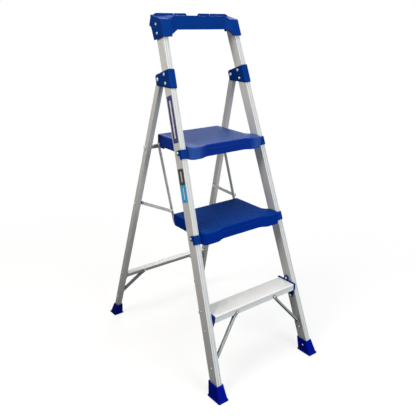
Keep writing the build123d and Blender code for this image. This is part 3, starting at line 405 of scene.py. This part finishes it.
class Shell:  # gathers the points and faces of one new piece
    def __init__(self):
        self.points = []
        self.faces = []
        self.marks = []

    # A seat is the middle of a spot, with the directions across, along and out of its face.
    def pad(self, seat, width, length, height, corner, mark=0):  # low and rounded, with a bevelled top
        middle, across, along, out = seat
        rings = ((0.0, 0.0), (0.0, padLook["wall"] * height), (padLook["bevel"] * height, height))
        count = 4 * padLook["cornerPoints"]
        first = len(self.points)
        for inset, level in rings:
            for step in range(count):
                angle = 2 * math.pi * (step + 0.5) / count
                reach = corner - inset
                x = math.copysign(width / 2 - corner, math.cos(angle)) + reach * math.cos(angle)
                y = math.copysign(length / 2 - corner, math.sin(angle)) + reach * math.sin(angle)
                self.points.append(middle + across * x + along * y + out * level)
        for row in range(len(rings) - 1):
            for step in range(count):
                low = first + row * count + step
                far = first + row * count + (step + 1) % count
                self.face((low, far, far + count, low + count), mark)
        top = first + (len(rings) - 1) * count
        self.face(tuple(range(top, top + count)), mark)
        self.face(tuple(reversed(range(first, first + count))), mark)

    def ring(self, seat, inner, outer, thick, count):  # thin and flat, with a bevelled outer edge
        middle, across, along, out = seat
        rows = ((inner, 0.0), (outer, 0.0), (outer - thick, thick), (inner, thick))
        first = len(self.points)
        for radius, level in rows:
            for step in range(count):
                angle = 2 * math.pi * step / count
                side = across * (radius * math.cos(angle)) + along * (radius * math.sin(angle))
                self.points.append(middle + side + out * level)
        for row in range(len(rows)):
            here = first + row * count
            over = first + (row + 1) % len(rows) * count
            for step in range(count):
                far = (step + 1) % count
                self.face((here + step, here + far, over + far, over + step))

    def face(self, corners, mark=0):
        self.faces.append(corners)
        self.marks.append(mark)

    def build(self, name, keys, body):
        mesh = bpy.data.meshes.new(name)
        mesh.from_pydata(self.points, [], self.faces)
        for key in keys:
            mesh.materials.append(finishes[key])
        mesh.polygons.foreach_set("material_index", self.marks)
        piece = bpy.data.objects.new(name, mesh)
        bpy.context.scene.collection.objects.link(piece)
        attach(piece, body)


gripLook = {
    "pitch": 0.0072,  # from row to row
    "dash": 0.021,
    "gap": 0.006,
    "width": 0.0030,
    "corner": 0.45,  # radius of a dash's ends, as a share of its width
    "height": 0.0007,
    "sunk": 0.0002,
    "edge": 0.009,  # bare margin round the grip
}
treads = {  # half the width, and how far each tread reaches from its pivot
    "top_tread": {"body": "top_step", "joint": "top_tread_fold", "finish": "topTread",
                  "half": 0.132, "front": 0.024, "rear": 0.182},
    "lower_tread": {"body": "lower_step", "joint": "lower_tread_fold", "finish": "lowTread",
                    "half": 0.1433, "front": 0.024, "rear": 0.165},
}


def makeGrip(node, tread):  # staggered rows of low dashes moulded on the standing surface
    pivot = next(joint["pos_m"] for joint in frame["joints"] if joint["name"] == tread["joint"])
    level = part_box(node)[1].z - gripLook["sunk"]
    half = tread["half"] - gripLook["edge"]
    front = pivot[1] - tread["front"] + gripLook["edge"]
    rear = pivot[1] + tread["rear"] - gripLook["edge"]
    step = gripLook["dash"] + gripLook["gap"]
    rows = int((rear - front) / gripLook["pitch"])
    shell = Shell()
    for row in range(rows + 1):
        y = front + (rear - front) * row / rows
        count = int((2 * half + gripLook["gap"]) / step) - row % 2
        for place in range(count):
            x = (place - (count - 1) / 2) * step
            seat = (Vector((x, y, level)), Vector((1, 0, 0)), Vector((0, 1, 0)), Vector((0, 0, 1)))
            shell.pad(seat, gripLook["dash"], gripLook["width"], gripLook["height"] + gripLook["sunk"],
                      gripLook["corner"] * gripLook["width"])
    shell.build(f"{node}_grip", [tread["finish"]], tread["body"])
    print("grip rows on", node, rows + 1)


# Painted shadow rings round the rivet heads.
rivetShadowLook = {
    "seats": {"step_bracket_rivets": "front_frame", "front_strut_rivets": "front_frame",
              "crossbar_rivets": "rear_frame", "rear_strut_rivets": "rear_frame"},
    "points": 24,
    "under": 0.0004,  # reach below the head
    "beyond": 0.0009,  # reach past the head
    "thick": 0.00015,
    "domeHeight": (0.0012, 0.003),
    "domeRadius": (0.003, 0.007),
    "domePoints": 8,  # a patch of a head has more
}


def loosePatches(mesh):  # the points of each connected patch of a mesh
    owner = list(range(len(mesh.vertices)))

    def root(index):
        while owner[index] != index:
            owner[index] = owner[owner[index]]
            index = owner[index]
        return index

    for edge in mesh.edges:
        owner[root(edge.vertices[0])] = root(edge.vertices[1])
    patches = {}
    for vertex in mesh.vertices:
        patches.setdefault(root(vertex.index), []).append(vertex.co)
    return [np.array(patch) for patch in patches.values() if len(patch) > rivetShadowLook["domePoints"]]


def makeRivetShadowRims(node, body):  # painted shadow: a dark ring round each rivet head
    shell = Shell()
    heads = 0
    low, high = rivetShadowLook["domeHeight"]
    small, large = rivetShadowLook["domeRadius"]
    for patch in loosePatches(nodes[node].data):
        middle = patch.mean(0)
        axes = np.linalg.svd(patch - middle, full_matrices=False)[2]  # the last row is the rivet's axis
        levels = (patch - middle) @ axes[2]
        radii = np.linalg.norm((patch - middle) @ axes[:2].T, axis=1)
        if not (low < np.ptp(levels) < high and small < radii.max() < large):
            continue
        brim = levels[radii.argmax()]
        outward = axes[2] if levels[radii.argmin()] > brim else -axes[2]
        seat = (Vector(middle + axes[2] * brim), Vector(axes[0]), Vector(np.cross(outward, axes[0])),
                Vector(outward))
        shell.ring(seat, radii.max() - rivetShadowLook["under"], radii.max() + rivetShadowLook["beyond"], rivetShadowLook["thick"],
                   rivetShadowLook["points"])
        heads += 1
    shell.build(node.replace("rivets", "rivet_rims"), ["soil"], body)
    print("rims round", heads, "heads of", node)


stileCorner = Vector((-0.219, -0.33165, 0))  # outer front corner of the left stile at the floor
stileBack = Vector((0, math.cos(lean), -math.sin(lean)))
stileUp = Vector((math.sin(splay), math.cos(splay) * math.sin(lean), math.cos(splay) * math.cos(lean)))
stileOut = stileUp.cross(stileBack)

stickers = {  # from and to along the stile, then rows of start, end and width as shares, and film
    "upper_sticker": {
        "from": 0.818, "to": 0.965, "width": 0.0275,
        "blocks": [(0.0, 1.0, 1.0, "blueFilm")],
        "bars": [(0.10, 0.90, 0.26, "whiteFilm")],
    },
    "lower_sticker": {
        "from": 0.632, "to": 0.738, "width": 0.029,
        "blocks": [(0.0, 0.52, 1.0, "skyFilm"), (0.52, 1.0, 1.0, "blackFilm")],
        "bars": [(0.08, 0.44, 0.16, "whiteFilm"), (0.60, 0.92, 0.16, "whiteFilm")],
    },
}
stickerSkin = {
    "middle": 0.0186,  # behind the front of the stile
    "thick": 0.00022,
    "corner": 0.0018,
    "ink": 0.00008,
    "inkSunk": 0.5,  # how deep a bar starts, as a share of the film
    "inkCorner": 0.4,  # as a share of the bar's width
}


def makeSticker(name, look):  # plain blocks of film with a plain bar on each
    shell = Shell()
    keys = sorted({row[-1] for row in look["blocks"] + look["bars"]})
    length = look["to"] - look["from"]
    sunk = stickerSkin["inkSunk"] * stickerSkin["thick"]

    def lay(start, end, width, key, lift, thick, corner):
        up = look["from"] + length * (start + end) / 2
        middle = stileCorner + stileBack * stickerSkin["middle"] + stileUp * up + stileOut * lift
        seat = (middle, stileBack, stileUp, stileOut)
        shell.pad(seat, width, length * (end - start), thick, corner, keys.index(key))

    for start, end, share, key in look["blocks"]:
        lay(start, end, look["width"] * share, key, 0.0, stickerSkin["thick"], stickerSkin["corner"])
    for start, end, share, key in look["bars"]:
        width = look["width"] * share
        lay(start, end, width, key, sunk, sunk + stickerSkin["ink"], stickerSkin["inkCorner"] * width)
    shell.build(name, keys, "front_frame")


for node, tread in treads.items():
    makeGrip(node, tread)
for name, look in stickers.items():
    makeSticker(name, look)
print("stickers made:", len(stickers))
for node, body in rivetShadowLook["seats"].items():
    makeRivetShadowRims(node, body)


floorLook = {
    "size": 40.0,
    "page": (0.93, 0.93, 0.93, 1),  # as the camera sees it
    "bounce": (0.07, 0.07, 0.07, 1),  # as it lights the stool from below
    "speck": (40.0, 3.0),
    "speckShare": 0.1,
    "speckTone": 0.97,
    "glow": 0.74,  # white share of the page beside the stool
    "near": 0.5,  # where the page starts to turn all white
    "far": 1.6,
}
white = (1, 1, 1, 1)


def pageSeen(finish):  # 1 for rays that show the page behind the object
    camera, glossy, through = (finish.node("ShaderNodeLightPath", output=f"Is {kind} Ray")
                               for kind in ("Camera", "Glossy", "Transmission"))
    return (camera + glossy + through).limited()


def makeFloor():
    bpy.ops.mesh.primitive_plane_add(size=floorLook["size"], location=(0, 0, 0))
    floor = bpy.context.object
    floor.name = "floor"
    finish = newFinish("paleFloor")
    where = finish.place()
    seen = pageSeen(finish)
    speck = finish.noise(where, *floorLook["speck"]) * floorLook["speckShare"]
    page = finish.mix(speck, floorLook["page"], shade(floorLook["page"], floorLook["speckTone"]))
    lit = finish.node("ShaderNodeBsdfPrincipled", None,
                      {"Base Color": finish.mix(seen, floorLook["bounce"], page),
                       "Roughness": 1.0, "Specular IOR Level": 0.0})
    blank = finish.node("ShaderNodeEmission", None, {"Color": white, "Strength": 1.0})
    away = finish.node("ShaderNodeVectorMath", {"operation": "LENGTH"}, {0: where}, output="Value")
    beyond = ((away - floorLook["near"]) * (1 / (floorLook["far"] - floorLook["near"]))).limited()
    blankShare = seen * (floorLook["glow"] + beyond * (1 - floorLook["glow"]))
    both = finish.node("ShaderNodeMixShader", None, {0: blankShare, 1: lit, 2: blank})
    finish.node("ShaderNodeOutputMaterial", None, {"Surface": both})
    floor.data.materials.append(finish.holder)


worldLook = {"ambient": 0.06}


def makeWorld():
    world = bpy.data.worlds.new("studio")
    bpy.context.scene.world = world
    finish = Finish(world)
    room, page = (finish.node("ShaderNodeBackground", None, {"Color": white, "Strength": strength})
                  for strength in (worldLook["ambient"], 1.0))
    both = finish.node("ShaderNodeMixShader", None, {0: pageSeen(finish), 1: room, 2: page})
    finish.node("ShaderNodeOutputWorld", None, {"Surface": both})


lamps = {
    "keyLamp": {"at": (0.2, -4.0, 2.2), "size": 2.4, "power": 150.0, "colour": (0.92, 0.97, 1.0)},
    "topLamp": {"at": (0.3, 0.0, 3.6), "size": 2.0, "power": 38.0, "colour": (1.0, 0.98, 0.95)},
    "fillLamp": {"at": (-1.6, 0.0, 2.6), "size": 1.0, "power": 47.0, "colour": (1.0, 0.93, 0.82)},
    "backLamp": {"at": (2.2, 2.6, 2.4), "size": 2.0, "power": 66.0, "colour": (0.97, 0.98, 1.0)},
}
lampTarget = Vector((0, 0, 0.7))


def makeLamps():
    for name, look in lamps.items():
        data = bpy.data.lights.new(name, "AREA")
        data.size = look["size"]
        data.energy = look["power"]
        data.color = look["colour"]
        lamp = bpy.data.objects.new(name, data)
        lamp.location = look["at"]
        lamp.rotation_euler = (lampTarget - lamp.location).to_track_quat("-Z", "Y").to_euler()
        bpy.context.scene.collection.objects.link(lamp)


cameraLook = {
    "at": (-1.1251, -1.35335, 1.1621),
    "yaw": 39.27,  # degrees from +Y towards +X
    "pitch": -20.53,
    "roll": 1.63,
    "sensor": 36.0,  # width in millimetres
    "lens": 46.74,  # millimetres
    "shift": (0.0007, -0.003),
}


def makeCamera():
    yaw, pitch, roll = (math.radians(cameraLook[angle]) for angle in ("yaw", "pitch", "roll"))
    ahead = Vector((math.sin(yaw) * math.cos(pitch), math.cos(yaw) * math.cos(pitch), math.sin(pitch)))
    level = Vector((math.cos(yaw), -math.sin(yaw), 0))
    over = level.cross(ahead)
    right = level * math.cos(roll) + over * math.sin(roll)
    up = over * math.cos(roll) - level * math.sin(roll)
    data = bpy.data.cameras.new("camera")
    data.sensor_width = cameraLook["sensor"]
    data.lens = cameraLook["lens"]
    data.shift_x, data.shift_y = cameraLook["shift"]
    camera = bpy.data.objects.new("camera", data)
    turn = Matrix((right, up, -ahead)).transposed()
    camera.matrix_world = Matrix.Translation(cameraLook["at"]) @ turn.to_4x4()
    bpy.context.scene.collection.objects.link(camera)
    bpy.context.scene.camera = camera


makeFloor()
makeWorld()
makeLamps()
makeCamera()
bpy.context.scene.view_settings.view_transform = "Standard"
print("stage, lamps and camera set")
